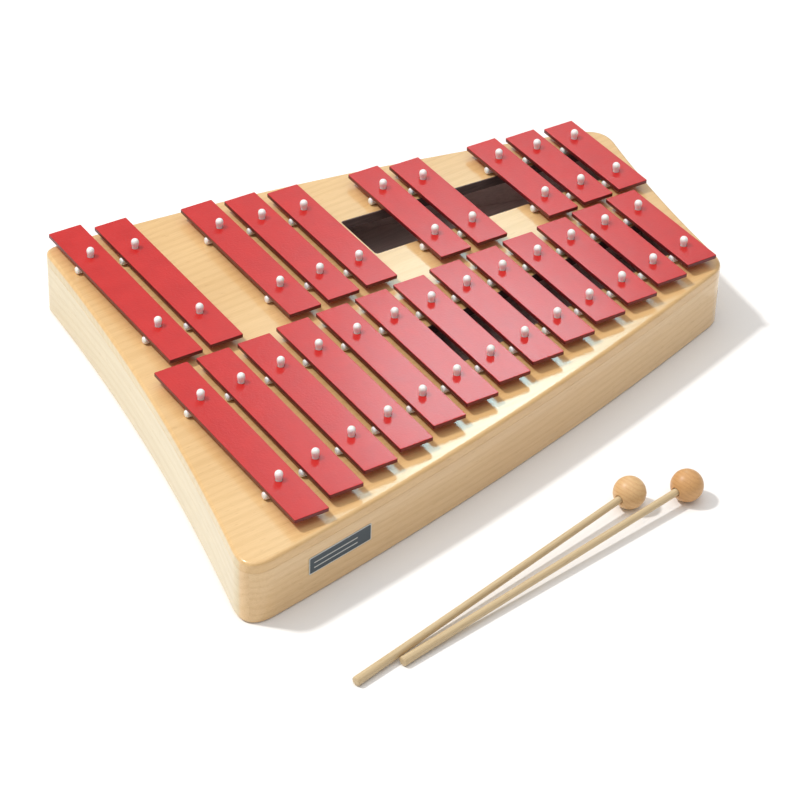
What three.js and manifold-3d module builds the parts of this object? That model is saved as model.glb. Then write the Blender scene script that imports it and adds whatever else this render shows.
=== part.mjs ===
// Chromatic alto glockenspiel: twenty-three red steel bars in two rows on a wooden resonator box,
// with two ball mallets lying in front of it.
//
// Frame: millimetres, +Z up. The origin is the middle of the box's base on the surface it stands on,
// +X runs from the low notes to the high notes and +Y runs away from the player.

import * as THREE from 'three';
import { mergeVertices } from 'three/addons/utils/BufferGeometryUtils.js';
import Module from 'manifold-3d';

const wasm = await Module();
wasm.setup();

// ---------------------------------------------------------------- driving dimensions

const FIT_GAP = 0.3; // clearance between touching pieces

// Resonator box. Its four sides are shallow curves between these corners.
const BODY_HEIGHT = 48;
const TOP_BOARD_THICKNESS = 8;
const BOTTOM_BOARD_THICKNESS = 4;
const WALL_THICKNESS = 12;
const RIB_THICKNESS = 12;
const FRONT_LEFT = new THREE.Vector2(-246, -189);
const FRONT_RIGHT = new THREE.Vector2(212.5, -68);
const BACK_RIGHT = new THREE.Vector2(244.5, 123);
const BACK_LEFT = new THREE.Vector2(-189, 188);
// How far from each corner its rounding begins, in the order of the corners above.
const OUTER_ROUNDINGS = [26, 14, 22, 11];
const INNER_ROUNDINGS = [2, 2, 2, 2];
const SIDE_STEPS = 12;
const CORNER_STEPS = 6;

// How far the middle of each side swells out (+) or is drawn in (-) from the straight line.
const FRONT_BOW = 10;
const TREBLE_END_BOW = -4;
const BACK_BOW = 13;
const BASS_END_BOW = -9;

// Sound slots in the top board, one under the short bars of each row.
const SLOT_CORNER_RADIUS = 2;
const NATURAL_SLOT = { left: -17, right: 201.5, nearLeft: -73.5, nearRight: -35, farLeft: -29, farRight: 5.5 };
const ACCIDENTAL_SLOT = { left: 8.5, right: 212.5, nearLeft: 65.5, nearRight: 65.5, farLeft: 112, farRight: 103.5 };

// Bars: equal width and thickness, so a semitone up is shorter by the 24th root of two.
const BAR_PITCH = 31.5; // from one natural bar to the next
const BAR_WIDTH = 25;
const BAR_THICKNESS = 3;
const LONGEST_BAR = 179;
const FIRST_BAR_X = -185.85;
const NODE_FRACTION = 0.224; // still points of a free bar, from each end
const NATURAL_COUNT = 13;
const NATURAL_CENTRE_Y = -79.85; // middle of the first natural bar
const NATURAL_CENTRE_STEP = 5.2; // the middles move back by this from bar to bar
const ACCIDENTAL_FRONT_Y = 15.3; // the front ends of the accidentals lie on one line
const ACCIDENTAL_FRONT_STEP = 1.73;

// Support of each bar end: a steel pin in a soft white pad. The pad is a domed column that stands up
// through the bar's hole, with a rod in front of it that lies across under the bar.
const PIN_RADIUS = 1.25;
const PIN_HOLE_RADIUS = 1.6;
const RAIL_WIDTH = 3;
const RAIL_THICKNESS = 1.2;
const CUSHION_DIAMETER = 5.4;
const CUSHION_LENGTH = 27;
const CUSHION_OFFSET = 3.2; // from the pin towards the player
const CUSHION_SIDES = 6;
const CUSHION_CLEARANCE = 0.2; // above and below the cushion
const WEB_WIDTH = 5;
const WEB_THICKNESS = 1;
const COLUMN_RADIUS = 2.7;
const COLUMN_RISE = 7; // above the bar
const COLUMN_ROOF = 2.2; // closed top over the pin
const BAR_HOLE_RADIUS = 3.2;

// Mallets: a stick that tapers from its butt, in a ball head, resting on the ball and on the butt.
const STICK_BUTT_RADIUS = 3.2;
const STICK_WAIST_RADIUS = 2.6;
const STICK_TIP_RADIUS = 2.5;
const STICK_BUTT_TO_WAIST = 110;
const STICK_BUTT_TO_BALL = 251; // butt to the centre of the ball
const BALL_RADIUS = 11;
const BALL_BORE_DEPTH = 14;
const MALLETS = [
  { name: 'mallet_1', x: 32.4, y: -206.2, heading: 13.2 },
  { name: 'mallet_2', x: 69.1, y: -219.2, heading: 10 },
];

// Plain name label on the front wall.
const LABEL_WIDTH = 53;
const LABEL_HEIGHT = 13;
const LABEL_THICKNESS = 0.5;
const LABEL_X = -168;
const LABEL_Z = 25;

// Heights that follow from the above.
const TOP_BOARD_BOTTOM = BODY_HEIGHT - TOP_BOARD_THICKNESS;
const WALL_TOP = TOP_BOARD_BOTTOM - FIT_GAP;
const CUSHION_BOTTOM = BODY_HEIGHT + CUSHION_CLEARANCE;
const CUSHION_AXIS_Z = CUSHION_BOTTOM + CUSHION_DIAMETER / 2;
const BAR_BOTTOM = BODY_HEIGHT + CUSHION_DIAMETER + 2 * CUSHION_CLEARANCE;
const BAR_TOP = BAR_BOTTOM + BAR_THICKNESS;
const COLUMN_TOP = BAR_TOP + COLUMN_RISE;
const PIN_TOP = COLUMN_TOP - COLUMN_ROOF - FIT_GAP;

// ---------------------------------------------------------------- materials

function finish(color, roughness, metalness) {
  return new THREE.MeshStandardMaterial({ color, roughness, metalness });
}

const wood = finish(0xf0cf96, 0.4, 0);
const darkWood = finish(0x33241f, 0.9, 0);
const redLacquer = finish(0xd8433f, 0.3, 0);
const steel = finish(0xc4c6c8, 0.3, 1);
const whiteSilicone = finish(0xf2f2ee, 0.35, 0);
const malletWood = finish(0xd9b583, 0.45, 0);
const labelDark = finish(0x3a4650, 0.4, 0);

// ---------------------------------------------------------------- geometry helpers

function bareGeometry(geometry) {
  const bare = geometry.clone();
  bare.deleteAttribute('normal');
  bare.deleteAttribute('uv');
  return mergeVertices(bare, 1e-4);
}

function toSolid(geometry) {
  const bare = bareGeometry(geometry);
  return new wasm.Manifold(new wasm.Mesh({
    numProp: 3,
    vertProperties: new Float32Array(bare.attributes.position.array),
    triVerts: new Uint32Array(bare.index.array),
  }));
}

function toGeometry(solid) {
  const mesh = solid.getMesh();
  const geometry = new THREE.BufferGeometry();
  geometry.setAttribute('position', new THREE.BufferAttribute(new Float32Array(mesh.vertProperties), 3));
  geometry.setIndex(new THREE.BufferAttribute(new Uint32Array(mesh.triVerts), 1));
  geometry.computeVertexNormals();
  return geometry;
}

function slab(shape, bottom, top) {
  const geometry = new THREE.ExtrudeGeometry(shape, { depth: top - bottom, bevelEnabled: false });
  geometry.translate(0, 0, bottom);
  return geometry;
}

function circleHole(x, y, radius, sides) {
  const hole = new THREE.Path();
  for (let i = 0; i < sides; i += 1) {
    const angle = (2 * Math.PI * i) / sides;
    const px = x + radius * Math.cos(angle);
    const py = y + radius * Math.sin(angle);
    if (i === 0) {
      hole.moveTo(px, py);
    } else {
      hole.lineTo(px, py);
    }
  }
  hole.closePath();
  return hole;
}

// Points of one curved side, from where the rounding of its first corner ends to where the rounding
// of its last corner begins.
function sidePoints(start, end, bow, startRounding, endRounding) {
  const along = end.clone().sub(start);
  const length = along.length();
  const outward = new THREE.Vector2(along.y, -along.x).divideScalar(length);
  const middle = start.clone().add(end).multiplyScalar(0.5).addScaledVector(outward, 2 * bow);
  const curve = new THREE.QuadraticBezierCurve(start, middle, end);
  const first = startRounding / length;
  const last = 1 - endRounding / length;
  const points = [];
  for (let i = 0; i <= SIDE_STEPS; i += 1) {
    points.push(curve.getPoint(first + ((last - first) * i) / SIDE_STEPS));
  }
  return points;
}

// Move each corner inwards so that all four sides shift by the same inset.
function insetCorners(corners, inset) {
  return corners.map((corner, i) => {
    const before = corners[(i + 3) % 4].clone().sub(corner).normalize();
    const after = corners[(i + 1) % 4].clone().sub(corner).normalize();
    const sine = Math.abs(before.cross(after));
    return corner.clone().add(before.add(after).multiplyScalar(inset / sine));
  });
}

// The box outline as four sides: front, treble end, back and bass end. Each side carries half of the
// rounded corner at both of its ends, so neighbouring sides meet on the corner's mitre line.
function outlineSides(inset, roundings) {
  const corners = insetCorners([FRONT_LEFT, FRONT_RIGHT, BACK_RIGHT, BACK_LEFT], inset);
  const bows = [FRONT_BOW, TREBLE_END_BOW, BACK_BOW, BASS_END_BOW];
  const runs = bows.map((bow, i) => {
    const next = (i + 1) % 4;
    return sidePoints(corners[i], corners[next], bow, roundings[i], roundings[next]);
  });
  const bends = corners.map((corner, i) => {
    const from = runs[(i + 3) % 4][SIDE_STEPS];
    return new THREE.QuadraticBezierCurve(from, corner, runs[i][0]).getPoints(CORNER_STEPS);
  });
  const half = CORNER_STEPS / 2;
  return runs.map((run, i) => {
    const leaving = bends[i].slice(half, CORNER_STEPS);
    const arriving = bends[(i + 1) % 4].slice(1, half + 1);
    return [...leaving, ...run, ...arriving];
  });
}

// The whole outline as one closed shape.
function outlineShape(inset, roundings) {
  const points = outlineSides(inset, roundings).flatMap((side) => side.slice(0, -1));
  return new THREE.Shape(points);
}

// A hole with rounded corners through four points.
function slotHole(slot) {
  const corners = [
    new THREE.Vector2(slot.left, slot.nearLeft),
    new THREE.Vector2(slot.right, slot.nearRight),
    new THREE.Vector2(slot.right, slot.farRight),
    new THREE.Vector2(slot.left, slot.farLeft),
  ];
  const hole = new THREE.Path();
  corners.forEach((corner, i) => {
    const before = corners[(i + 3) % 4].clone().sub(corner).setLength(SLOT_CORNER_RADIUS).add(corner);
    const after = corners[(i + 1) % 4].clone().sub(corner).setLength(SLOT_CORNER_RADIUS).add(corner);
    if (i === 0) {
      hole.moveTo(before.x, before.y);
    } else {
      hole.lineTo(before.x, before.y);
    }
    const bend = new THREE.QuadraticBezierCurve(before, corner, after).getPoints(4);
    bend.slice(1).forEach((point) => hole.lineTo(point.x, point.y));
  });
  hole.closePath();
  return hole;
}

// ---------------------------------------------------------------- bar layout

// Every bar with its name, place and the two still points where its pins stand.
function layOutBars() {
  const letters = ['c', 'd', 'e', 'f', 'g', 'a', 'b'];
  const semitones = [0, 2, 4, 5, 7, 9, 11];
  const lengthOf = (semitone) => LONGEST_BAR * 2 ** (-semitone / 24);
  const bars = [];
  for (let place = 0; place < NATURAL_COUNT; place += 1) {
    const letter = letters[place % 7];
    const octave = 5 + Math.floor(place / 7);
    const semitone = semitones[place % 7] + 12 * Math.floor(place / 7);
    bars.push({
      row: 'natural',
      name: `bar_${letter}${octave}`,
      length: lengthOf(semitone),
      x: FIRST_BAR_X + BAR_PITCH * place,
      y: NATURAL_CENTRE_Y + NATURAL_CENTRE_STEP * place,
    });
    if (letter !== 'e' && letter !== 'b') {
      const sharpLength = lengthOf(semitone + 1);
      bars.push({
        row: 'accidental',
        name: `bar_${letter}_sharp_${octave}`,
        length: sharpLength,
        x: FIRST_BAR_X + BAR_PITCH * (place + 0.5),
        y: ACCIDENTAL_FRONT_Y + ACCIDENTAL_FRONT_STEP * (place + 0.5) + sharpLength / 2,
      });
    }
  }
  return bars;
}

const bars = layOutBars();

function pinOffset(bar) {
  return bar.length * (0.5 - NODE_FRACTION);
}

// Pin places of one row, on its front (-1) or rear (+1) line.
function pinPlaces(row, side) {
  return bars.filter((bar) => bar.row === row).map((bar) => [bar.x, bar.y + side * pinOffset(bar)]);
}

const allPins = ['natural', 'accidental'].flatMap((row) => [-1, 1].flatMap((side) => pinPlaces(row, side)));

// ---------------------------------------------------------------- the pieces

function topBoard() {
  const shape = outlineShape(0, OUTER_ROUNDINGS);
  shape.holes.push(slotHole(NATURAL_SLOT), slotHole(ACCIDENTAL_SLOT));
  allPins.forEach(([x, y]) => shape.holes.push(circleHole(x, y, PIN_HOLE_RADIUS, 6)));
  return slab(shape, TOP_BOARD_BOTTOM, BODY_HEIGHT);
}

function bottomBoard() {
  return slab(outlineShape(WALL_THICKNESS + FIT_GAP, INNER_ROUNDINGS), 0, BOTTOM_BOARD_THICKNESS);
}

// One wall of the box, mitred at both ends.
function wall(index) {
  const outer = outlineSides(0, OUTER_ROUNDINGS)[index];
  const inner = outlineSides(WALL_THICKNESS, INNER_ROUNDINGS)[index];
  const last = outer.length - 1;
  const inwards = outer[last].clone().sub(outer[0]).setLength(FIT_GAP / 2);
  [outer, inner].forEach((side) => {
    side[0] = side[0].clone().add(inwards);
    side[side.length - 1] = side[side.length - 1].clone().sub(inwards);
  });
  return slab(new THREE.Shape([...outer, ...inner.reverse()]), 0, WALL_TOP);
}

// The rib under the gap between the rows, fitted between the end walls.
function centreRib() {
  const rowGapY = (x) => 11 + 0.0565 * (x - BACK_LEFT.x);
  const reach = 260;
  const half = RIB_THICKNESS / 2;
  const strip = new THREE.Shape([
    new THREE.Vector2(-reach, rowGapY(-reach) - half),
    new THREE.Vector2(reach, rowGapY(reach) - half),
    new THREE.Vector2(reach, rowGapY(reach) + half),
    new THREE.Vector2(-reach, rowGapY(-reach) + half),
  ]);
  const bottom = BOTTOM_BOARD_THICKNESS + FIT_GAP;
  const inside = outlineShape(WALL_THICKNESS + FIT_GAP, INNER_ROUNDINGS);
  const rib = toSolid(slab(strip, bottom, WALL_TOP)).intersect(toSolid(slab(inside, 0, BODY_HEIGHT)));
  return toGeometry(rib);
}

function bar(place) {
  const shape = new THREE.Shape([
    new THREE.Vector2(-BAR_WIDTH / 2, -place.length / 2),
    new THREE.Vector2(BAR_WIDTH / 2, -place.length / 2),
    new THREE.Vector2(BAR_WIDTH / 2, place.length / 2),
    new THREE.Vector2(-BAR_WIDTH / 2, place.length / 2),
  ]);
  shape.holes.push(circleHole(0, -pinOffset(place), BAR_HOLE_RADIUS, 10));
  shape.holes.push(circleHole(0, pinOffset(place), BAR_HOLE_RADIUS, 10));
  return slab(shape, BAR_BOTTOM, BAR_TOP);
}

// A flat strip that runs straight from each place to the next, as a list of overlapping pieces.
function stripThrough(places, width, bottom, top) {
  return places.slice(1).map(([x, y], i) => {
    const [fromX, fromY] = places[i];
    const piece = new THREE.BoxGeometry(Math.hypot(x - fromX, y - fromY) + width / 2, width, top - bottom);
    piece.rotateZ(Math.atan2(y - fromY, x - fromX));
    piece.translate((x + fromX) / 2, (y + fromY) / 2, (bottom + top) / 2);
    return piece;
  });
}

function uprightCylinder([x, y], radius, bottom, top, sides) {
  const geometry = new THREE.CylinderGeometry(radius, radius, top - bottom, sides);
  geometry.rotateX(Math.PI / 2);
  geometry.translate(x, y, (top + bottom) / 2);
  return geometry;
}

function joined(geometries) {
  return geometries.map(toSolid).reduce((whole, solid) => whole.add(solid));
}

// One line of pins, standing on a thin rail under the top board.
function pinRail(places) {
  const railTop = WALL_TOP;
  const railBottom = railTop - RAIL_THICKNESS;
  const rail = stripThrough(places, RAIL_WIDTH, railBottom, railTop);
  const pins = places.map((place) => uprightCylinder(place, PIN_RADIUS, railBottom, PIN_TOP, 6));
  return toGeometry(joined([...rail, ...pins]));
}

// The soft column that stands on the board and up through the bar's hole, with a domed top.
function padColumn([x, y]) {
  const profile = [
    new THREE.Vector2(0, CUSHION_BOTTOM),
    new THREE.Vector2(COLUMN_RADIUS, CUSHION_BOTTOM),
    new THREE.Vector2(COLUMN_RADIUS, COLUMN_TOP - 0.9 * COLUMN_RADIUS),
    new THREE.Vector2(0.72 * COLUMN_RADIUS, COLUMN_TOP - 0.25 * COLUMN_RADIUS),
    new THREE.Vector2(0, COLUMN_TOP),
  ];
  const column = new THREE.LatheGeometry(profile, 6);
  column.rotateX(Math.PI / 2);
  column.translate(x, y, 0);
  return column;
}

// The soft rod that lies across under the bar, just in front of the column.
function padArms([x, y]) {
  const radius = CUSHION_DIAMETER / 2;
  const arms = new THREE.CylinderGeometry(radius, radius, CUSHION_LENGTH, CUSHION_SIDES);
  arms.rotateZ(Math.PI / 2);
  arms.translate(x, y, CUSHION_AXIS_Z);
  return arms;
}

// One line of pads: each is a column with a rod, bored from below for its pin. A thin web on the board
// joins them.
function padLine(places) {
  const rods = places.map(([x, y]) => [x, y - CUSHION_OFFSET]);
  const web = stripThrough(rods, WEB_WIDTH, CUSHION_BOTTOM, CUSHION_BOTTOM + WEB_THICKNESS);
  const pads = joined([...web, ...rods.map(padArms), ...places.map(padColumn)]);
  const boreTop = PIN_TOP + FIT_GAP;
  const bores = places.map((place) => uprightCylinder(place, PIN_HOLE_RADIUS, BODY_HEIGHT, boreTop, 6));
  return toGeometry(pads.subtract(joined(bores)));
}

// A thin plain plate lying on the curved front wall.
function labelPlate() {
  const frontCurve = sidePoints(FRONT_LEFT, FRONT_RIGHT, FRONT_BOW, 0, 0);
  const next = frontCurve.findIndex((point) => point.x > LABEL_X);
  const [a, b] = [frontCurve[next - 1], frontCurve[next]];
  const heading = Math.atan2(b.y - a.y, b.x - a.x);
  const y = a.y + ((LABEL_X - a.x) / (b.x - a.x)) * (b.y - a.y);
  const geometry = new THREE.BoxGeometry(LABEL_WIDTH, LABEL_THICKNESS, LABEL_HEIGHT);
  geometry.translate(0, -LABEL_THICKNESS / 2 - FIT_GAP, 0);
  geometry.rotateZ(heading);
  geometry.translate(LABEL_X, y, LABEL_Z);
  return geometry;
}

// Stick and ball are built along +X with the ball's centre at the origin.
function malletStick() {
  const end = BALL_BORE_DEPTH - BALL_RADIUS - FIT_GAP;
  const profile = [
    new THREE.Vector2(0, -STICK_BUTT_TO_BALL),
    new THREE.Vector2(STICK_BUTT_RADIUS, -STICK_BUTT_TO_BALL),
    new THREE.Vector2(STICK_WAIST_RADIUS, STICK_BUTT_TO_WAIST - STICK_BUTT_TO_BALL),
    new THREE.Vector2(STICK_TIP_RADIUS, end),
    new THREE.Vector2(0, end),
  ];
  const geometry = new THREE.LatheGeometry(profile, 14);
  geometry.rotateZ(-Math.PI / 2);
  return geometry;
}

function malletBall() {
  const bore = STICK_TIP_RADIUS + FIT_GAP;
  const mouth = Math.asin(bore / BALL_RADIUS);
  const steps = 9;
  const profile = [];
  for (let i = 0; i <= steps; i += 1) {
    const angle = ((Math.PI - mouth) * i) / steps;
    profile.push(new THREE.Vector2(BALL_RADIUS * Math.sin(angle), BALL_RADIUS * Math.cos(angle)));
  }
  profile.push(new THREE.Vector2(bore, BALL_BORE_DEPTH - BALL_RADIUS));
  profile.push(new THREE.Vector2(0, BALL_BORE_DEPTH - BALL_RADIUS));
  const geometry = new THREE.LatheGeometry(profile.reverse(), 16);
  geometry.rotateZ(-Math.PI / 2);
  return geometry;
}

// ---------------------------------------------------------------- the assembly

function named(name, geometry, material) {
  const mesh = new THREE.Mesh(bareGeometry(geometry), material);
  mesh.geometry.computeVertexNormals();
  mesh.name = name;
  return mesh;
}

function resonatorBox() {
  const box = new THREE.Group();
  box.add(
    named('top_board', topBoard(), wood),
    named('front_wall', wall(0), wood),
    named('treble_end_wall', wall(1), wood),
    named('back_wall', wall(2), wood),
    named('bass_end_wall', wall(3), wood),
    named('bottom_board', bottomBoard(), darkWood),
    named('center_rib', centreRib(), darkWood),
    named('name_label', labelPlate(), labelDark),
  );
  return box;
}

function barSupports() {
  const supports = new THREE.Group();
  ['natural', 'accidental'].forEach((row) => {
    [['front', -1], ['rear', 1]].forEach(([line, side]) => {
      const places = pinPlaces(row, side);
      supports.add(
        named(`${row}_${line}_pins`, pinRail(places), steel),
        named(`${row}_${line}_pads`, padLine(places), whiteSilicone),
      );
    });
  });
  return supports;
}

function barRows() {
  const rows = new THREE.Group();
  bars.forEach((place) => {
    const mesh = named(place.name, bar(place), redLacquer);
    mesh.position.set(place.x, place.y, 0);
    rows.add(mesh);
  });
  return rows;
}

function mallet({ name, x, y, heading }) {
  const group = new THREE.Group();
  group.add(
    named(`${name}_stick`, malletStick(), malletWood),
    named(`${name}_head`, malletBall(), malletWood),
  );
  const tilt = Math.asin((BALL_RADIUS - STICK_BUTT_RADIUS) / STICK_BUTT_TO_BALL);
  group.rotation.set(0, -tilt, THREE.MathUtils.degToRad(heading), 'ZYX');
  group.position.set(x, y, BALL_RADIUS);
  return group;
}

const glockenspiel = new THREE.Group();
glockenspiel.add(resonatorBox(), barSupports(), barRows(), ...MALLETS.map(mallet));

export default glockenspiel;
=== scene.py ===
"""Looks of the chromatic alto glockenspiel: red steel bars in two rows on a pale wooden resonator box,
white silicone pads, a plain name label and two ball mallets.

Metres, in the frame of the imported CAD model: +X runs from the low to the high notes, +Y away from the
player, +Z up, and the box stands on z = 0.
"""

import math

import bmesh
import bpy
from mathutils import Matrix, Vector


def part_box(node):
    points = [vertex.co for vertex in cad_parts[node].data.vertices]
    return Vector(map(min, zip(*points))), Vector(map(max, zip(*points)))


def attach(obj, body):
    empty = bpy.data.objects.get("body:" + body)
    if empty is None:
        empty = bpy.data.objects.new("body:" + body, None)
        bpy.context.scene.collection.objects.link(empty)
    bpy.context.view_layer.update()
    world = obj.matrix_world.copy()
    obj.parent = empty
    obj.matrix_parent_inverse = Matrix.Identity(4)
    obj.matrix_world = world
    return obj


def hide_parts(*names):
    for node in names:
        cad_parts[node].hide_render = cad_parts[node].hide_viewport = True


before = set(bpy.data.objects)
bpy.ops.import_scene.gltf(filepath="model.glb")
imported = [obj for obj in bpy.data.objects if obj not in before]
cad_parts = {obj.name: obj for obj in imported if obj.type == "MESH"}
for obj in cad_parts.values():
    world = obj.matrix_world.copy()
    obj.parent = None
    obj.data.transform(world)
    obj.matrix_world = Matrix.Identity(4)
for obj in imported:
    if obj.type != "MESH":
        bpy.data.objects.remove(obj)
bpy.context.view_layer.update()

MM = 0.001

# ---------------------------------------------------------------- dimensions

# Outline of the box: corners in millimetres, how far from each corner its rounding begins, and how far
# the middle of each side swells out (+) or is drawn in (-). Front, treble end, back, bass end.
CORNERS = [(-246, -189), (212.5, -68), (244.5, 123), (-189, 188)]
SIDE_BOWS = [10, -4, 13, -9]
OUTER_ROUNDINGS = [26, 14, 22, 11]
INNER_ROUNDINGS = [2, 2, 2, 2]
WALL_NAMES = ["front_wall", "treble_end_wall", "back_wall", "bass_end_wall"]
WALL_THICKNESS = 12
SIDE_STEPS = 36
CORNER_STEPS = 40

BODY_HEIGHT = 48
BOARD_THICKNESS = 8
BOARD_BOTTOM = BODY_HEIGHT - BOARD_THICKNESS
TOP_EASE = 2.6  # rounding of the top board's upper edge
FOOT_EASE = 2.2  # rounding of the walls' lower outer edge
SEAM_EASE = 0.22  # the two edges that meet in the seam below the top board
SLOT_EASE = 0.7

# Sound slots: left, right, and the y of the near and far edge at the left and at the right.
SLOTS = {
    "natural": (-17, 201.5, -73.5, -35, -29, 5.5),
    "accidental": (8.5, 212.5, 65.5, 65.5, 112, 103.5),
}
SLOT_CORNER = 2
UNDERSIDE_DEPTH = 0.01  # faces of the top board this close to its underside take the inside's finish

# Bars and their pads.
BAR_WIDTH = 25
BAR_THICKNESS = 3
NODE_FRACTION = 0.224  # still points of a free bar, from each end
BAR_CORNER = 0.9
BAR_EDGE = 0.45
BAR_HOLE_RADIUS = 2.4  # a close fit round the column's neck
BAR_HOLE_EASE = 0.3
BAR_SIDE_LIMIT = 0.6  # a face of a bar is one of its sides, which take the painted shade, where its normal rises less than this
PLACE_NAMES = ("front", "rear")
PAD_CLEARANCE = 0.2  # from the board to the pads
CUSHION_RADIUS = 2.7
CUSHION_HALF_LENGTH = 13.5
CUSHION_OFFSET = 3.2  # from the pin towards the player
CUSHION_END_EASE = 1.5
CUSHION_RING_SHARE = 0.5
COLUMN_RADIUS = 2.75  # of the bulb above the bar
COLUMN_NECK = 2.2  # radius in the bar's hole
COLUMN_FOOT_EASE = 0.3
COLUMN_RISE = 7  # from the top of the bar to the crown

# Mallets: middle of the ball in millimetres and heading from +X towards +Y in degrees.
MALLETS = {"mallet_1": (32.4, -206.2, 13.2), "mallet_2": (69.1, -219.2, 10.0)}
STICK_BUTT_RADIUS = 3.2
STICK_WAIST_RADIUS = 2.6
STICK_TIP_RADIUS = 2.5
STICK_BUTT_TO_WAIST = 110
STICK_REACH = 251  # from the butt to the middle of the ball
STICK_END_GAP = 0.4  # from the stick's end to the bottom of the bore
BUTT_EASE = 1.1
BUTT_RING_SHARE = 0.6
BALL_RADIUS = 11
BALL_BORE_DEPTH = 14
BORE_CLEARANCE = 0.12
BORE_CHAMFER = [(0.9, 0.0), (0.3, 0.2)]  # how far in from the mouth, and how much wider than the bore
MOUTH_RADIUS = STICK_TIP_RADIUS + BORE_CLEARANCE + 0.7  # where the bore meets the ball's surface

# The label on the front wall: width and height, then its middle's x and z.
LABEL_SIZE = (53, 13)
LABEL_PLACE = (-168, 25)
LABEL_GLUE = 0.05  # from the wall to the label
LABEL_LAYERS = [(0, 0.3, 0.1), (0.1, 0.38, 0.05), (0.1, 0.45, 0.03)]  # back, front and ease of each
LABEL_FRAME = 0.7
LABEL_CORNER = 0.8
LABEL_RULES = [(-2.6, -1.9), (1.2, 1.9)]  # lower and upper edge, from the middle
LABEL_RULE_MARGINS = (4, 12)  # left and right

# Steps and sides of the round shapes.
EASE_STEPS = 5
SMALL_CORNER_STEPS = 4
SLOT_CORNER_STEPS = 8
ROD_END_STEPS = 6
SWELL_STEPS = 11
CROWN_STEPS = 12
BALL_STEPS = 40
HOLE_SIDES = 32
CUSHION_SIDES = 28
COLUMN_SIDES = 32
STICK_SIDES = 32
BALL_SIDES = 64

AXIS_RADIUS = 1e-6  # a profile point closer to the axis than this is one vertex

# Edges that turn by more than this are drawn sharp, in degrees.
SHARP_ANGLE = 35
PAD_SHARP_ANGLE = 50

# Camera: metres, degrees and millimetres of focal length.
CAMERA_TARGET = (-0.0545, -0.06497, 0.028)
CAMERA_DISTANCE = 2.01497
CAMERA_HEADING = 33.546
CAMERA_ELEVATION = 36.497
CAMERA_ROLL = 1.807
CAMERA_LENS = 136.84

# Light: directions from the object, and metres, watts and linear colours.
FLOOR_REACH = 12.0
FLOOR_COLOUR = (0.9, 0.895, 0.89, 1)
SKY_COLOUR = (1.0, 0.99, 0.98, 1)
SKY_LOW, SKY_HIGH = 0.38, 1.55  # strength at the horizon and overhead
SKY_EVEN_TO = 0.6  # sine of the height up to which the sky keeps its low strength
KEY_DIRECTION = (-0.44, 0.34, 0.83)
KEY_DISTANCE, KEY_SIZE, KEY_POWER = 4.0, (0.36, 0.36), 96
KEY_COLOUR = (1.0, 0.99, 0.975)
PANEL_TARGET = (0.035, -0.1, BODY_HEIGHT * MM)
PANEL_DISTANCE = 2.2
PANEL_DIRECTION = (0.4545, 0.6516, 0.6074)
PANEL_SIZE, PANEL_POWER, PANEL_COLOUR = (0.4, 0.36), 3.5, (0.55, 0.93, 1.0)
WIDE_PANEL_DIRECTION = (0.4362, 0.6665, 0.6046)
WIDE_PANEL_SIZE, WIDE_PANEL_POWER, WIDE_PANEL_COLOUR = (0.55, 0.5), 1.3, (0.5, 0.93, 1.0)

# Woods: linear colours, light then dark; the middle of the growth rings in metres; the scale of the
# rings; and the lacquer's roughness and weight.
TOP_COLOURS = ((0.78, 0.52, 0.245), (0.64, 0.385, 0.15))
TOP_GRAIN = 5.0  # heading of the grain in degrees; the walls' runs along each wall
TOP_PITH = (0.0, -0.02, -0.09)
TOP_RINGS = 46.0
TOP_LACQUER = (0.19, 1.0)
WALL_COLOURS = ((0.81, 0.57, 0.3), (0.67, 0.42, 0.19))
WALL_PITH = (0.0, 0.11, 0.03)
WALL_PITH_STEP = 0.01  # from wall to wall, so that no two show the same figure
WALL_RINGS = 60.0
WALL_LACQUER = (0.12, 1.0)
STICK_COLOURS = ((0.66, 0.52, 0.315), (0.53, 0.38, 0.21))
STICK_PITH = (0, 0.004, 0.009)
STICK_RINGS = 260.0
STICK_LACQUER = (0.35, 0.3)
BALL_COLOURS = {
    "mallet_1": ((0.77, 0.52, 0.255), (0.6, 0.31, 0.14)),
    "mallet_2": ((0.68, 0.39, 0.165), (0.51, 0.25, 0.095)),
}
BALL_PITH = (0, 0.01, -0.02)
BALL_RINGS = 120.0
BALL_LACQUER = (0.38, 0.35)

# Painted highlight: the box is drawn paler on faces that look the bass end's way, towards the light: tint,
# that way, and how closely a face must look that way before the tint begins and is full.
BASS_END_PAINTED_HIGHLIGHT = (0.9, 1.08, 1.27)
BASS_END_FACING = (-0.96, 0.28, 0)
HIGHLIGHT_FROM, HIGHLIGHT_FULL = 0.88, 0.965

BARE_GRAIN = 6  # heading of the unlacquered wood's grain in degrees

# Other linear colours.
# Painted shade: the rims of the sound slots are drawn near black.
SLOT_RIM_SHADE_DARK, SLOT_RIM_SHADE_LIGHT = (0.09, 0.063, 0.059), (0.18, 0.125, 0.117)
INSIDE_DARK, INSIDE_LIGHT = (0.62, 0.54, 0.52), (0.78, 0.69, 0.67)
BAR_LIGHT, BAR_DARK = (0.56, 0.015, 0.0125), (0.5, 0.011, 0.0095)
# Painted shade: the bars' sides are drawn a much darker red than their tops.
BAR_SIDE_PAINTED_SHADE_LIGHT, BAR_SIDE_PAINTED_SHADE_DARK = (0.17, 0.01, 0.013), (0.11, 0.007, 0.01)
SILICONE_DUSTY, SILICONE_CLEAN = (0.84, 0.835, 0.81), (0.92, 0.92, 0.905)
STEEL_DARK, STEEL_LIGHT = (0.42, 0.42, 0.43), (0.66, 0.66, 0.67)
INK_DARK = ((0.032, 0.05, 0.066), (0.045, 0.068, 0.088))
INK_PALE = ((0.5, 0.52, 0.5), (0.62, 0.63, 0.6))
WHITE = (1.0, 1.0, 1.0)


# ---------------------------------------------------------------- outlines in millimetres


def bezier(start, middle, end, t):
    """Point at t on a quadratic Bezier curve."""
    return start * (1 - t) ** 2 + middle * (2 * t * (1 - t)) + end * t**2


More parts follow.
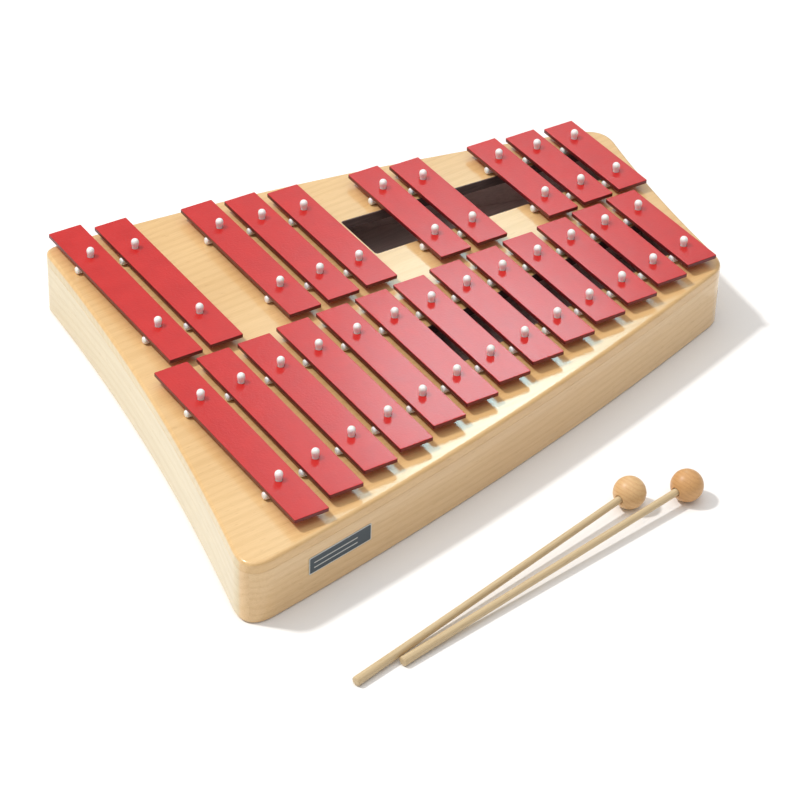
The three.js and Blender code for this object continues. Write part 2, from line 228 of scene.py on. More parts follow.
def inset_corners(inset):
    """The box corners with all four sides moved inwards by the same inset."""
    corners = [Vector(c) for c in CORNERS]
    moved = []
    for i, corner in enumerate(corners):
        before = (corners[i - 1] - corner).normalized()
        after = (corners[(i + 1) % 4] - corner).normalized()
        sine = abs(before.cross(after))
        moved.append(corner + (before + after) * (inset / sine))
    return moved


def side_points(start, end, bow, first_rounding, last_rounding):
    """Points of one curved side between the roundings at its ends."""
    along = end - start
    outward = Vector((along.y, -along.x)).normalized()
    middle = (start + end) / 2 + outward * (2 * bow)
    first = first_rounding / along.length
    last = 1 - last_rounding / along.length
    steps = [first + (last - first) * i / SIDE_STEPS for i in range(SIDE_STEPS + 1)]
    return [bezier(start, middle, end, t) for t in steps]


def outline_sides(inset, roundings):
    """Four point lists, one per side, which meet on the mitre lines of the rounded corners."""
    corners = inset_corners(inset)
    runs = []
    for i in range(4):
        j = (i + 1) % 4
        runs.append(side_points(corners[i], corners[j], SIDE_BOWS[i], roundings[i], roundings[j]))
    bends = []
    for i, corner in enumerate(corners):
        steps = [k / CORNER_STEPS for k in range(CORNER_STEPS + 1)]
        bends.append([bezier(runs[i - 1][-1], corner, runs[i][0], t) for t in steps])
    half = CORNER_STEPS // 2
    sides = []
    for i, run in enumerate(runs):
        leaving = bends[i][half:CORNER_STEPS]
        arriving = bends[(i + 1) % 4][1 : half + 1]
        sides.append(leaving + run + arriving)
    return sides


def closed_outline():
    """The whole outer outline, anticlockwise, each point once."""
    return [p for side in outline_sides(0, OUTER_ROUNDINGS) for p in side[:-1]]


def shifted_ring(points, distance):
    """A closed anticlockwise ring moved outwards by distance (inwards if negative)."""
    ring = []
    count = len(points)
    for i, point in enumerate(points):
        before = (point - points[i - 1]).normalized()
        after = (points[(i + 1) % count] - point).normalized()
        normal = Vector((before.y + after.y, -before.x - after.x)).normalized()
        spread = max(0.5, normal.dot(Vector((before.y, -before.x))))
        ring.append(point + normal * (distance / spread))
    return ring


def rounded_polygon(corners, radius, steps):
    """Corners joined by straight sides, each corner rounded off."""
    ring = []
    count = len(corners)
    for i, corner in enumerate(corners):
        before = corner + (corners[i - 1] - corner).normalized() * radius
        after = corner + (corners[(i + 1) % count] - corner).normalized() * radius
        ring.extend(bezier(before, corner, after, k / steps) for k in range(steps + 1))
    return ring


def slot_ring(slot):
    """Outline of one sound slot."""
    left, right, near_left, near_right, far_left, far_right = SLOTS[slot]
    corners = [(left, near_left), (right, near_right), (right, far_right), (left, far_left)]
    return rounded_polygon([Vector(c) for c in corners], SLOT_CORNER, SLOT_CORNER_STEPS)


def circle_ring(x, y, radius, sides):
    """Points round a circle."""
    turns = [2 * math.pi * i / sides for i in range(sides)]
    return [Vector((x + radius * math.cos(a), y + radius * math.sin(a))) for a in turns]


# ---------------------------------------------------------------- mesh building


def new_object(name, bm, materials, sharp_angle=SHARP_ANGLE):
    """A mesh object from bm, smooth except over edges sharper than sharp_angle degrees."""
    bmesh.ops.recalc_face_normals(bm, faces=bm.faces)
    limit = math.radians(sharp_angle)
    for edge in bm.edges:
        if len(edge.link_faces) == 2 and edge.calc_face_angle() > limit:
            edge.smooth = False
    for face in bm.faces:
        face.smooth = True
    mesh = bpy.data.meshes.new(name)
    bm.to_mesh(mesh)
    bm.free()
    for material in materials:
        mesh.materials.append(material)
    obj = bpy.data.objects.new(name, mesh)
    bpy.context.scene.collection.objects.link(obj)
    weighted = obj.modifiers.new("Face weighted normals", "WEIGHTED_NORMAL")
    weighted.keep_sharp = True
    weighted.weight = 100
    return obj


def add_ring(bm, points, z):
    """Vertices of a closed ring at height z, from points in millimetres."""
    return [bm.verts.new((p.x * MM, p.y * MM, z * MM)) for p in points]


def join_rings(bm, lower, upper, material=0):
    """Quads between two closed rings of equal length."""
    count = len(lower)
    for i in range(count):
        j = (i + 1) % count
        face = bm.faces.new((lower[i], lower[j], upper[j], upper[i]))
        face.material_index = material


def ring_edges(bm, ring):
    """The edges of a closed ring."""
    return [bm.edges.get((ring[i - 1], ring[i])) for i in range(len(ring))]


def edge_profile(bottom, top, bottom_ease, top_ease):
    """(inset, z) pairs from the rim of the lower face to the rim of the upper face."""
    turns = [math.pi / 2 * k / EASE_STEPS for k in range(EASE_STEPS + 1)]
    lower = [(bottom_ease * (1 - math.sin(a)), bottom + bottom_ease * (1 - math.cos(a))) for a in turns]
    upper = [(top_ease * (1 - math.cos(a)), top - top_ease * (1 - math.sin(a))) for a in turns]
    return lower + upper


def plate(bm, outline, holes, bottom, top, eases, hole_ease, hole_material=0):
    """A flat plate with eased edges and eased through holes. eases is (bottom, top)."""
    low_edges, high_edges = [], []
    rims = [(outline, -1, eases, 0)]
    rims += [(hole, 1, (hole_ease, hole_ease), hole_material) for hole in holes]
    for ring, direction, (bottom_ease, top_ease), material in rims:
        rows = []
        for inset, z in edge_profile(bottom, top, bottom_ease, top_ease):
            rows.append(add_ring(bm, shifted_ring(ring, direction * inset), z))
        for lower, upper in zip(rows, rows[1:]):
            join_rings(bm, lower, upper, material)
        low_edges += ring_edges(bm, rows[0])
        high_edges += ring_edges(bm, rows[-1])
    for cap in (low_edges, high_edges):
        bmesh.ops.triangle_fill(bm, use_beauty=True, use_dissolve=False, edges=cap)


def lathe(bm, profile, sides, place):
    """Turns (along, radius) pairs in millimetres about the local X axis and moves them by place."""
    turns = [2 * math.pi * i / sides for i in range(sides)]
    rings = []
    for along, radius in profile:
        if radius < AXIS_RADIUS:
            points = [Vector((along * MM, 0, 0))]
        else:
            points = [Vector((along, radius * math.cos(a), radius * math.sin(a))) * MM for a in turns]
        rings.append([bm.verts.new(place @ point) for point in points])
    for lower, upper in zip(rings, rings[1:]):
        for i in range(sides):
            j = (i + 1) % sides
            quad = [lower[i % len(lower)], lower[j % len(lower)]]
            quad += [upper[j % len(upper)], upper[i % len(upper)]]
            bm.faces.new(tuple(dict.fromkeys(quad)))


def dome(centre, radius, start, end, steps):
    """(along, radius) pairs of an arc about centre, from angle start to end in degrees."""
    pairs = []
    for k in range(steps + 1):
        a = math.radians(start + (end - start) * k / steps)
        pairs.append((centre + radius * math.cos(a), max(0.0, radius * math.sin(a))))
    return pairs


# ---------------------------------------------------------------- materials


class Shader:
    """A material with a Principled shader, and short ways to add nodes."""

    def __init__(self, name):
        self.material = bpy.data.materials.new(name)
        self.material.use_nodes = True
        self.tree = self.material.node_tree
        self.tree.nodes.clear()
        self.output = self.tree.nodes.new("ShaderNodeOutputMaterial")
        self.principled = self.tree.nodes.new("ShaderNodeBsdfPrincipled")
        self.link(self.principled.outputs[0], self.output.inputs["Surface"])

    def link(self, source, target):
        """Joins an output to an input."""
        self.tree.links.new(source, target)

    def set(self, **values):
        """Sets values on the Principled shader's own sockets."""
        for key, value in values.items():
            self.principled.inputs[key.replace("_", " ")].default_value = value

    def coordinates(self, rotation=(0, 0, 0), scale=(1, 1, 1), location=(0, 0, 0)):
        """Object coordinates, moved, turned and scaled."""
        source = self.tree.nodes.new("ShaderNodeTexCoord")
        mapping = self.tree.nodes.new("ShaderNodeMapping")
        mapping.inputs["Rotation"].default_value = rotation
        mapping.inputs["Scale"].default_value = scale
        mapping.inputs["Location"].default_value = location
        self.link(source.outputs["Object"], mapping.inputs["Vector"])
        return mapping.outputs["Vector"]

    def stretched(self, vector, scale):
        """A vector scaled once more: a small number draws the pattern out along that axis."""
        mapping = self.tree.nodes.new("ShaderNodeMapping")
        mapping.inputs["Scale"].default_value = scale
        self.link(vector, mapping.inputs["Vector"])
        return mapping.outputs["Vector"]

    def noise(self, vector, scale, detail=4.0, roughness=0.55):
        """Noise from 0 to 1."""
        node = self.tree.nodes.new("ShaderNodeTexNoise")
        node.inputs["Scale"].default_value = scale
        node.inputs["Detail"].default_value = detail
        node.inputs["Roughness"].default_value = roughness
        self.link(vector, node.inputs["Vector"])
        return node.outputs["Fac"]

    def rings(self, vector, scale):
        """Growth rings round the X axis, from 0 to 1, slightly wandering."""
        node = self.tree.nodes.new("ShaderNodeTexWave")
        node.wave_type = "RINGS"
        node.rings_direction = "X"
        node.inputs["Scale"].default_value = scale
        node.inputs["Distortion"].default_value = 5.0
        node.inputs["Detail"].default_value = 2.0
        node.inputs["Detail Scale"].default_value = 1.6
        self.link(vector, node.inputs["Vector"])
        return node.outputs["Fac"]

    def ramp(self, factor, *stops):
        """Colour ramp through (position, colour) stops."""
        node = self.tree.nodes.new("ShaderNodeValToRGB")
        elements = node.color_ramp.elements
        while len(elements) < len(stops):
            elements.new(0.5)
        for element, (position, colour) in zip(elements, stops):
            element.position = position
            element.color = (*colour, 1)
        self.link(factor, node.inputs["Fac"])
        return node.outputs["Color"]

    def mix(self, factor, first, second, blend="MIX"):
        """Mixes two colours. Each may be a socket or a plain colour, and factor a socket or a number."""
        node = self.tree.nodes.new("ShaderNodeMix")
        node.data_type = "RGBA"
        node.blend_type = blend
        for key, value in (("Factor", factor), (6, first), (7, second)):
            socket = node.inputs[key]
            if isinstance(value, (int, float)):
                socket.default_value = value
            elif isinstance(value, tuple):
                socket.default_value = (*value, 1)
            else:
                self.link(value, socket)
        return node.outputs[2]

    def spread(self, factor, low, high):
        """Maps 0..1 to low..high."""
        node = self.tree.nodes.new("ShaderNodeMapRange")
        node.inputs["To Min"].default_value = low
        node.inputs["To Max"].default_value = high
        self.link(factor, node.inputs["Value"])
        return node.outputs["Result"]

    def painted_highlight_facing_bass_end(self):
        """Mask of the painted highlight: 0 on faces that look elsewhere, rising softly to 1 on faces that
        look the bass end's way.
        """
        source = self.tree.nodes.new("ShaderNodeNewGeometry")
        agreement = self.tree.nodes.new("ShaderNodeVectorMath")
        agreement.operation = "DOT_PRODUCT"
        agreement.inputs[1].default_value = BASS_END_FACING
        node = self.tree.nodes.new("ShaderNodeMapRange")
        node.interpolation_type = "SMOOTHSTEP"
        node.inputs["From Min"].default_value = HIGHLIGHT_FROM
        node.inputs["From Max"].default_value = HIGHLIGHT_FULL
        self.link(source.outputs["Normal"], agreement.inputs[0])
        self.link(agreement.outputs["Value"], node.inputs["Value"])
        return node.outputs["Result"]

    def bump(self, height, strength, distance):
        """Gives the surface a fine relief."""
        node = self.tree.nodes.new("ShaderNodeBump")
        node.inputs["Strength"].default_value = strength
        node.inputs["Distance"].default_value = distance
        self.link(height, node.inputs["Height"])
        self.link(node.outputs["Normal"], self.principled.inputs["Normal"])


def wood(name, colours, heading, pith, ring_scale, lacquer, pale=None):
    """Clear-lacquered close-grained wood with its grain along heading (degrees from +X towards +Y).

    colours are light and dark, pith moves the middle of the growth rings, and lacquer is its roughness
    and its weight. pale is the painted highlight: a paler tint on the faces that look towards the bass end.
    Each figure is drawn out along X, the way of the grain.
    """
    light, dark = colours
    gloss, coat = lacquer
    shader = Shader(name)
    base = shader.coordinates(rotation=(0, 0, -math.radians(heading)), location=pith)
    figure = shader.rings(shader.stretched(base, (0.055, 1, 1)), ring_scale)
    broad = shader.noise(shader.stretched(base, (0.22, 1, 1)), 16, 3.0, 0.5)
    fibre = shader.noise(shader.stretched(base, (0.035, 1, 1)), 1500, 3.0, 0.6)
    fleck = shader.noise(shader.stretched(base, (0.16, 1, 1)), 900, 2.0, 0.5)
    late_wood = tuple(0.55 * a + 0.45 * b for a, b in zip(light, dark))
    rings = shader.ramp(figure, (0.0, light), (0.4, light), (1.0, late_wood))
    patches = shader.ramp(broad, (0.3, dark), (0.7, light))
    tone = shader.mix(0.45, rings, patches)
    streaks = shader.ramp(fibre, (0.3, (0.86, 0.83, 0.78)), (0.62, WHITE))
    tone = shader.mix(0.6, tone, streaks, "MULTIPLY")
    flecks = shader.ramp(fleck, (0.28, (0.78, 0.7, 0.6)), (0.36, WHITE))
    tone = shader.mix(0.45, tone, flecks, "MULTIPLY")
    # Painted highlight: faces that look towards the bass end are drawn paler.
    if pale:
        highlighted_tone = shader.mix(1.0, tone, pale, "MULTIPLY")
        tone = shader.mix(shader.painted_highlight_facing_bass_end(), tone, highlighted_tone)
    shader.link(tone, shader.principled.inputs["Base Color"])
    shader.link(shader.spread(fibre, 0.34, 0.5), shader.principled.inputs["Roughness"])
    shader.bump(fibre, 0.1, 0.0002)
    shader.set(Coat_Weight=coat, Coat_Roughness=gloss, IOR=1.45, Specular_IOR_Level=0.25)
    return shader.material


def bare_wood(name, dark, light):
    """Unlacquered wood, drawn dark as painted shade for the rims of the slots and plain for the inside of
    the box.
    """
    shader = Shader(name)
    base = shader.coordinates(rotation=(0, 0, -math.radians(BARE_GRAIN)))
    fibre = shader.noise(shader.stretched(base, (0.05, 1, 1)), 600, 4.0, 0.6)
    broad = shader.noise(shader.stretched(base, (0.3, 1, 1)), 30, 3.0)
    tone = shader.ramp(fibre, (0.3, dark), (0.7, light))
    patches = shader.ramp(broad, (0.3, (0.7, 0.7, 0.7)), (0.7, (1.25, 1.15, 1.1)))
    tone = shader.mix(0.8, tone, patches, "MULTIPLY")
    shader.link(tone, shader.principled.inputs["Base Color"])
    shader.link(shader.spread(fibre, 0.6, 0.85), shader.principled.inputs["Roughness"])
    shader.bump(fibre, 0.35, 0.0004)
    return shader.material


def red_lacquer(name, light, dark, coat):
    """Baked red lacquer on steel, with a faint orange peel and cloudy wear. Given dark colours, it draws
    the painted shade on the bars' sides.
    """
    shader = Shader(name)
    base = shader.coordinates()
    peel = shader.noise(base, 620, 3.0, 0.6)
    cloud = shader.noise(base, 55, 4.0, 0.6)
    rub = shader.noise(shader.stretched(base, (1, 0.12, 1)), 900, 3.0, 0.6)
    tone = shader.ramp(cloud, (0.3, dark), (0.7, light))
    marks = shader.ramp(rub, (0.3, (0.92, 0.86, 0.86)), (0.6, WHITE))
    tone = shader.mix(0.5, tone, marks, "MULTIPLY")
    shader.link(tone, shader.principled.inputs["Base Color"])
    shader.link(shader.spread(cloud, 0.3, 0.44), shader.principled.inputs["Roughness"])
    shader.bump(peel, 0.5, 0.0003)
    shader.set(Coat_Weight=coat, Coat_Roughness=0.16, Specular_IOR_Level=0.35)
    return shader.material


def silicone():
    """Milky white silicone, soft sheen and a trace of dust."""
    shader = Shader("white_silicone")
    base = shader.coordinates()
    dust = shader.noise(base, 420, 4.0, 0.6)
    tone = shader.ramp(dust, (0.3, SILICONE_DUSTY), (0.65, SILICONE_CLEAN))
    shader.link(tone, shader.principled.inputs["Base Color"])
    shader.link(shader.spread(dust, 0.26, 0.4), shader.principled.inputs["Roughness"])
    shader.bump(dust, 0.12, 0.0002)
    shader.set(Subsurface_Weight=0.15, Subsurface_Scale=0.002, Coat_Weight=0.4, Coat_Roughness=0.15)
    return shader.material


def pin_steel():
    """Bright drawn steel wire."""
    shader = Shader("pin_steel")
    base = shader.coordinates(scale=(1, 1, 0.05))
    drawn = shader.noise(base, 2500, 2.0)
    tone = shader.ramp(drawn, (0.3, STEEL_DARK), (0.7, STEEL_LIGHT))
    shader.link(tone, shader.principled.inputs["Base Color"])
    shader.link(shader.spread(drawn, 0.22, 0.4), shader.principled.inputs["Roughness"])
    shader.bump(drawn, 0.1, 0.0001)
    shader.set(Metallic=1.0)
    return shader.material


def print_ink(name, low, high):
    """Printed ink on the label, speckled between two colours."""
    shader = Shader(name)
    base = shader.coordinates()
    speck = shader.noise(base, 1400, 3.0)
    tone = shader.ramp(speck, (0.3, low), (0.7, high))
    shader.link(tone, shader.principled.inputs["Base Color"])
    shader.link(shader.spread(speck, 0.35, 0.5), shader.principled.inputs["Roughness"])
    shader.bump(speck, 0.05, 0.0001)
    return shader.material


# ---------------------------------------------------------------- resonator box


def make_top_board(materials):
    """The top board with eased edges and its two sound slots. materials: board, slot rims with painted
    shade, underside.
    """
    bm = bmesh.new()
    slots = [slot_ring(name) for name in SLOTS]
    plate(bm, closed_outline(), slots, BOARD_BOTTOM, BODY_HEIGHT, (SEAM_EASE, TOP_EASE), SLOT_EASE, 1)
    for face in bm.faces:
        if face.calc_center_median().z < (BOARD_BOTTOM + UNDERSIDE_DEPTH) * MM:
            face.material_index = 2
    board = new_object("top_board_eased", bm, materials)
    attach(board, "resonator")
    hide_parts("top_board")


def make_wall(index, materials):
    """One side of the box, from mitre to mitre, with an eased foot. materials: outside, inside."""
    outline = closed_outline()
    sides = outline_sides(0, OUTER_ROUNDINGS)
    first = sum(len(side) - 1 for side in sides[:index])
    count = len(outline)
    stations = [(first + k) % count for k in range(len(sides[index]))]
    inner = outline_sides(WALL_THICKNESS, INNER_ROUNDINGS)[index]
    bm = bmesh.new()
    rows = []
    for inset, z in edge_profile(0, BOARD_BOTTOM, FOOT_EASE, SEAM_EASE):
        ring = shifted_ring(outline, -inset)
        rows.append([bm.verts.new((ring[k].x * MM, ring[k].y * MM, z * MM)) for k in stations])
    for z in (BOARD_BOTTOM, 0):
        rows.append([bm.verts.new((p.x * MM, p.y * MM, z * MM)) for p in inner])
    inside = len(rows) - 2
    for r, row in enumerate(rows):
        other = rows[(r + 1) % len(rows)]
        for k in range(len(row) - 1):
            face = bm.faces.new((row[k], row[k + 1], other[k + 1], other[k]))
            face.material_index = 1 if r == inside else 0
    bm.faces.new([row[0] for row in rows])
    bm.faces.new([row[-1] for row in rows])
    wall = new_object(WALL_NAMES[index] + "_eased", bm, materials)
    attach(wall, "resonator")
    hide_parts(WALL_NAMES[index])


def wall_heading(index):
    """Direction of a side in degrees from +X."""
    start, end = Vector(CORNERS[index]), Vector(CORNERS[(index + 1) % 4])
    return math.degrees(math.atan2(end.y - start.y, end.x - start.x))


def make_box():
    """Top board and the four walls, each with its own plank, and the finish of what is inside."""
    # Painted shade: the rims of the sound slots are drawn near black.
    slot_rim_shade = bare_wood("slot_rim_painted_shade", SLOT_RIM_SHADE_DARK, SLOT_RIM_SHADE_LIGHT)
    inside = bare_wood("inner_wood", INSIDE_DARK, INSIDE_LIGHT)
    board = wood("top_board_wood", TOP_COLOURS, TOP_GRAIN, TOP_PITH, TOP_RINGS, TOP_LACQUER, BASS_END_PAINTED_HIGHLIGHT)
    make_top_board([board, slot_rim_shade, inside])
    for index, name in enumerate(WALL_NAMES):
        heading = wall_heading(index)
        pith = (WALL_PITH[0], WALL_PITH[1], WALL_PITH[2] + WALL_PITH_STEP * index)
        plank = wood(name + "_wood", WALL_COLOURS, heading, pith, WALL_RINGS, WALL_LACQUER, BASS_END_PAINTED_HIGHLIGHT)
        make_wall(index, [plank, inside])
    for node in ("bottom_board", "center_rib"):
        repaint(node, inside)


def repaint(node, material):
    """Gives a carried-over CAD node its finish."""
    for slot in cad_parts[node].material_slots:
        slot.material = material


# ---------------------------------------------------------------- bars and pads


def bar_nodes():
    """Names of the bar nodes, low to high."""
    return sorted((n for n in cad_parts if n.startswith("bar_")), key=lambda n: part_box(n)[0].x)


def bar_box(node):
    """Middle x, front y, back y and top z of a bar, in millimetres."""
    low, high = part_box(node)
    return (low.x + high.x) / 2 / MM, low.y / MM, high.y / MM, high.z / MM


def pad_places(node):
    """The (x, y) of a bar's two pads, front and rear."""
    x, front, back, _ = bar_box(node)
    offset = NODE_FRACTION * (back - front)
    return (x, front + offset), (x, back - offset)


def make_bar(node, materials):
    """A red bar with eased edges and two holes. materials: flat faces, sides with painted shade."""
    x, front, back, top = bar_box(node)
    half = BAR_WIDTH / 2
    corners = [(x - half, front), (x + half, front), (x + half, back), (x - half, back)]
    outline = rounded_polygon([Vector(c) for c in corners], BAR_CORNER, SMALL_CORNER_STEPS)
    holes = [circle_ring(px, py, BAR_HOLE_RADIUS, HOLE_SIDES) for px, py in pad_places(node)]
    bm = bmesh.new()
    plate(bm, outline, holes, top - BAR_THICKNESS, top, (BAR_EDGE, BAR_EDGE), BAR_HOLE_EASE)
    # The sides take the darker red: painted shade.
    for face in bm.faces:
        face.normal_update()
        if abs(face.normal.z) < BAR_SIDE_LIMIT:
            face.material_index = 1
    bar = new_object(node + "_lacquered", bm, materials)
    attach(bar, node + "_body")
    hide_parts(node)


def softened_end(start, radius, ease, ring_share):
    """(along, radius) pairs of a rod's end at start: a flat middle with a ring of points on it at
    ring_share of its radius, then a quarter round.
    """
    pairs = [(start, 0.0), (start, (radius - ease) * ring_share)]
    for k in range(ROD_END_STEPS + 1):
        a = math.pi / 2 * k / ROD_END_STEPS
        pairs.append((start + ease * (1 - math.cos(a)), radius - ease * (1 - math.sin(a))))
    return pairs


def rod_profile():
    """(along, radius) pairs of a cushion rod with two softened ends."""
    left = softened_end(-CUSHION_HALF_LENGTH, CUSHION_RADIUS, CUSHION_END_EASE, CUSHION_RING_SHARE)
    return left + [(-along, r) for along, r in reversed(left)]


def column_profile(bar_top):
    """(along, radius) pairs of a column: a neck through the bar's hole and a round bulb above it."""
    foot = BODY_HEIGHT + PAD_CLEARANCE
    start = bar_top + PAD_CLEARANCE
    crown = bar_top + COLUMN_RISE - COLUMN_RADIUS
    pairs = [(foot, 0.0), (foot, COLUMN_NECK - COLUMN_FOOT_EASE), (foot + COLUMN_FOOT_EASE, COLUMN_NECK)]
    pairs.append((bar_top - COLUMN_FOOT_EASE, COLUMN_NECK))
    for k in range(SWELL_STEPS):
        t = k / SWELL_STEPS
        swell = t * t * (3 - 2 * t)
        pairs.append((start + t * (crown - start), COLUMN_NECK + (COLUMN_RADIUS - COLUMN_NECK) * swell))
    return pairs + dome(crown, COLUMN_RADIUS, 90, 0, CROWN_STEPS)


def make_pads(row, place, nodes, material):
    """One line of pads: a cushion across under each bar and a domed column through its hole."""
    cushions, columns = bmesh.new(), bmesh.new()
    cushion_z = BODY_HEIGHT + PAD_CLEARANCE + CUSHION_RADIUS
    for node in nodes:
        x, y = pad_places(node)[place]
        lying = Matrix.Translation(Vector((x, y - CUSHION_OFFSET, cushion_z)) * MM)
        lathe(cushions, rod_profile(), CUSHION_SIDES, lying)
        upright = Matrix.Translation(Vector((x, y, 0)) * MM) @ Matrix.Rotation(-math.pi / 2, 4, "Y")
        lathe(columns, column_profile(bar_box(node)[3]), COLUMN_SIDES, upright)
    for kind, bm in (("cushions", cushions), ("columns", columns)):
        piece = new_object(f"{row}_{PLACE_NAMES[place]}_{kind}", bm, [material], PAD_SHARP_ANGLE)
        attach(piece, "resonator")
        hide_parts(f"{row}_{PLACE_NAMES[place]}_pads")


def make_rows():
    """All bars, their pads and the steel pins in them."""
    face = red_lacquer("red_lacquer", BAR_LIGHT, BAR_DARK, 0.35)
    # Painted shade: the bars' sides take a much darker red than their tops.
    side = red_lacquer("red_lacquer_painted_shade", BAR_SIDE_PAINTED_SHADE_LIGHT, BAR_SIDE_PAINTED_SHADE_DARK, 0.2)
    rubber, steel = silicone(), pin_steel()
    nodes = bar_nodes()
    for node in nodes:
        make_bar(node, [face, side])
    rows = {
        "natural": [n for n in nodes if "sharp" not in n],
        "accidental": [n for n in nodes if "sharp" in n],
    }
    for row, members in rows.items():
        for place, place_name in enumerate(PLACE_NAMES):
            make_pads(row, place, members, rubber)
            repaint(f"{row}_{place_name}_pins", steel)


# ---------------------------------------------------------------- label


def front_wall_point(x):
    """Point on the outer face of the front wall at x, and the wall's direction there."""
    side = outline_sides(0, OUTER_ROUNDINGS)[0]
    before, after = next(pair for pair in zip(side, side[1:]) if pair[1].x >= x)
    share = (x - before.x) / (after.x - before.x)
    return before.lerp(after, share), (after - before).normalized()


def label_layer(bm, rectangle, layer, material):
    """A flat rounded rectangle of the label, in its own plane. rectangle is left, right, low, high."""
    left, right, low, high = rectangle
    back, front, ease = layer
    corners = [Vector(c) for c in ((left, low), (right, low), (right, high), (left, high))]
    outline = rounded_polygon(corners, min(LABEL_CORNER, (high - low) / 3), SMALL_CORNER_STEPS)
    before = set(bm.faces)
    plate(bm, outline, [], back, front, (0, ease), 0)
    for face in set(bm.faces) - before:
        face.material_index = material


def make_label():
    """A dark plate with a pale frame and two pale rules, with no lettering."""
    dark = print_ink("label_dark_ink", *INK_DARK)
    pale = print_ink("label_pale_ink", *INK_PALE)
    half_w, half_h = LABEL_SIZE[0] / 2, LABEL_SIZE[1] / 2
    inner_w, inner_h = half_w - LABEL_FRAME, half_h - LABEL_FRAME
    left, right = LABEL_RULE_MARGINS
    bm = bmesh.new()
    plate_layer, face_layer, rule_layer = LABEL_LAYERS
    label_layer(bm, (-half_w, half_w, -half_h, half_h), plate_layer, 1)
    label_layer(bm, (-inner_w, inner_w, -inner_h, inner_h), face_layer, 0)
    for low, high in LABEL_RULES:
        label_layer(bm, (left - half_w, half_w - right, low, high), rule_layer, 1)
    point, along = front_wall_point(LABEL_PLACE[0])
    outward = Vector((along.y, -along.x, 0))
    side = Vector((along.x, along.y, 0))
    place = Matrix((side, Vector((0, 0, 1)), outward)).transposed().to_4x4()
    place.translation = (Vector((point.x, point.y, LABEL_PLACE[1])) + outward * LABEL_GLUE) * MM
    bm.transform(place)
    label = new_object("name_label_plain", bm, [dark, pale])
    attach(label, "resonator")
    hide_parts("name_label")


# ---------------------------------------------------------------- mallets


def mallet_place(name):
    """Where a mallet lies, on its butt and its ball. It is made about the ball, stick along -X."""
    x, y, heading = MALLETS[name]
    tilt = math.asin((BALL_RADIUS - STICK_BUTT_RADIUS) / STICK_REACH)
    turn = Matrix.Rotation(math.radians(heading), 4, "Z") @ Matrix.Rotation(-tilt, 4, "Y")
    return Matrix.Translation(Vector((x, y, BALL_RADIUS)) * MM) @ turn


def stick_profile():
    """(along, radius) pairs of a stick: a softened butt, a taper to the waist and a straight rest."""
    pairs = softened_end(-STICK_REACH, STICK_BUTT_RADIUS, BUTT_EASE, BUTT_RING_SHARE)
    start = BUTT_EASE - STICK_REACH
    for k in range(1, SWELL_STEPS + 1):
        t = k / SWELL_STEPS
        swell = (STICK_BUTT_RADIUS - STICK_WAIST_RADIUS) * (1 - t) ** 2
        pairs.append((start + t * STICK_BUTT_TO_WAIST, STICK_WAIST_RADIUS + swell))
    end = BALL_BORE_DEPTH - BALL_RADIUS - STICK_END_GAP
    return pairs + [(end, STICK_TIP_RADIUS), (end, 0.0)]


def ball_profile():
    """(along, radius) pairs of a ball, from the bottom of its bore over its mouth and round it."""
    bore = STICK_TIP_RADIUS + BORE_CLEARANCE
    bore_end = BALL_BORE_DEPTH - BALL_RADIUS
    mouth = math.degrees(math.asin(MOUTH_RADIUS / BALL_RADIUS))
    rim = -BALL_RADIUS * math.cos(math.radians(mouth))
    chamfer = [(rim + depth, bore + wider) for depth, wider in BORE_CHAMFER]
    return [(bore_end, 0.0), (bore_end, bore)] + chamfer + dome(0, BALL_RADIUS, 180 - mouth, 0, BALL_STEPS)


def make_mallet(name, stick_wood, ball_wood):
    """A round stick with a softened butt in a turned ball."""
    stick, ball = bmesh.new(), bmesh.new()
    lathe(stick, stick_profile(), STICK_SIDES, Matrix.Identity(4))
    lathe(ball, ball_profile(), BALL_SIDES, Matrix.Identity(4))
    for kind, bm, material in (("stick", stick, stick_wood), ("head", ball, ball_wood)):
        piece = new_object(f"{name}_{kind}_turned", bm, [material])
        piece.matrix_world = mallet_place(name)
        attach(piece, name)
        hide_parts(f"{name}_{kind}")


def make_mallets():
    """Two mallets, each with its own wood."""
    for name, colours in BALL_COLOURS.items():
        stick = wood(name + "_stick_wood", STICK_COLOURS, 0, STICK_PITH, STICK_RINGS, STICK_LACQUER)
        ball = wood(name + "_ball_wood", colours, 90, BALL_PITH, BALL_RINGS, BALL_LACQUER)
        make_mallet(name, stick, ball)


# ---------------------------------------------------------------- stage, light and camera


def make_floor():
    """A plain white floor."""
    shader = Shader("floor_white")
    shader.set(Base_Color=FLOOR_COLOUR, Roughness=0.9, Specular_IOR_Level=0.0)
    bm = bmesh.new()
    corners = [(-1, -1), (1, -1), (1, 1), (-1, 1)]
    bm.faces.new([bm.verts.new((x * FLOOR_REACH, y * FLOOR_REACH, 0)) for x, y in corners])
    new_object("floor", bm, [shader.material])


def aim(obj, place, target):
    """Puts obj at place, looking at target."""
    obj.location = place
    obj.rotation_euler = (Vector(target) - Vector(place)).to_track_quat("-Z", "Y").to_euler()


def area_light(name, direction, distance, target, size, power, colour, glossy_only=False):
    """A soft oval light in a direction from target."""
    data = bpy.data.lights.new(name, "AREA")
    data.shape = "ELLIPSE"
    data.size, data.size_y = size
    data.energy = power
    data.color = colour
    light = bpy.data.objects.new(name, data)
    bpy.context.scene.collection.objects.link(light)
    aim(light, Vector(target) + Vector(direction).normalized() * distance, target)
    light.visible_diffuse = not glossy_only


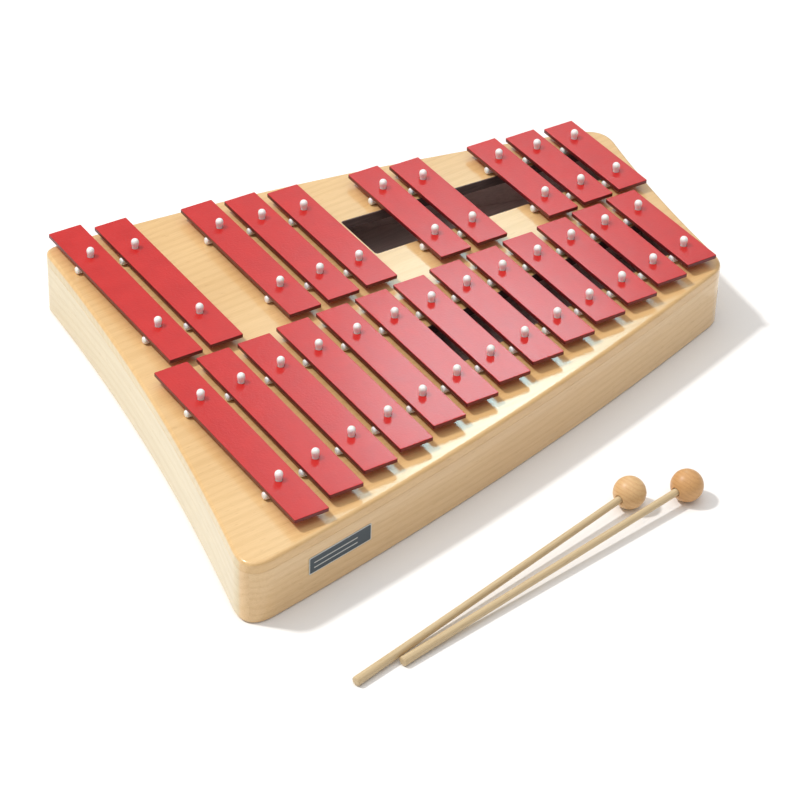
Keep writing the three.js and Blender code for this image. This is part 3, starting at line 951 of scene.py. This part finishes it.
def make_sky():
    """Soft white surroundings, brightest overhead."""
    world = bpy.data.worlds.new("studio")
    bpy.context.scene.world = world
    world.use_nodes = True
    tree = world.node_tree
    direction = tree.nodes.new("ShaderNodeTexCoord")
    height = tree.nodes.new("ShaderNodeSeparateXYZ")
    brightness = tree.nodes.new("ShaderNodeMapRange")
    brightness.inputs["From Min"].default_value = SKY_EVEN_TO
    brightness.inputs["To Min"].default_value = SKY_LOW
    brightness.inputs["To Max"].default_value = SKY_HIGH
    tree.links.new(direction.outputs["Generated"], height.inputs["Vector"])
    tree.links.new(height.outputs["Z"], brightness.inputs["Value"])
    sky = tree.nodes["Background"]
    sky.inputs["Color"].default_value = SKY_COLOUR
    tree.links.new(brightness.outputs["Result"], sky.inputs["Strength"])


def make_lights():
    """A soft key from the back left, and two panels behind the object, which only reflections show."""
    area_light("key", KEY_DIRECTION, KEY_DISTANCE, (0, 0, 0), KEY_SIZE, KEY_POWER, KEY_COLOUR)
    for name, direction, size, power, colour in (
        ("panel", PANEL_DIRECTION, PANEL_SIZE, PANEL_POWER, PANEL_COLOUR),
        ("wide_panel", WIDE_PANEL_DIRECTION, WIDE_PANEL_SIZE, WIDE_PANEL_POWER, WIDE_PANEL_COLOUR),
    ):
        area_light(name, direction, PANEL_DISTANCE, PANEL_TARGET, size, power, colour, True)


def make_camera():
    """The photograph's viewpoint."""
    data = bpy.data.cameras.new("camera")
    data.sensor_width = 36
    data.lens = CAMERA_LENS
    data.clip_start = 0.1
    data.clip_end = 100
    camera = bpy.data.objects.new("camera", data)
    bpy.context.scene.collection.objects.link(camera)
    heading, elevation = math.radians(CAMERA_HEADING), math.radians(CAMERA_ELEVATION)
    level_forward = Vector((math.sin(heading), math.cos(heading), 0))
    forward = level_forward * math.cos(elevation) - Vector((0, 0, math.sin(elevation)))
    right = forward.cross(Vector((0, 0, 1))).normalized()
    up = right.cross(forward)
    level = Matrix((right, up, -forward)).transposed().to_4x4()
    level.translation = Vector(CAMERA_TARGET) - forward * CAMERA_DISTANCE
    camera.matrix_world = level @ Matrix.Rotation(math.radians(CAMERA_ROLL), 4, "Z")
    bpy.context.scene.camera = camera


bpy.context.scene.view_settings.view_transform = "Standard"
make_floor()
make_sky()
make_lights()
make_camera()
make_box()
make_rows()
make_label()
make_mallets()
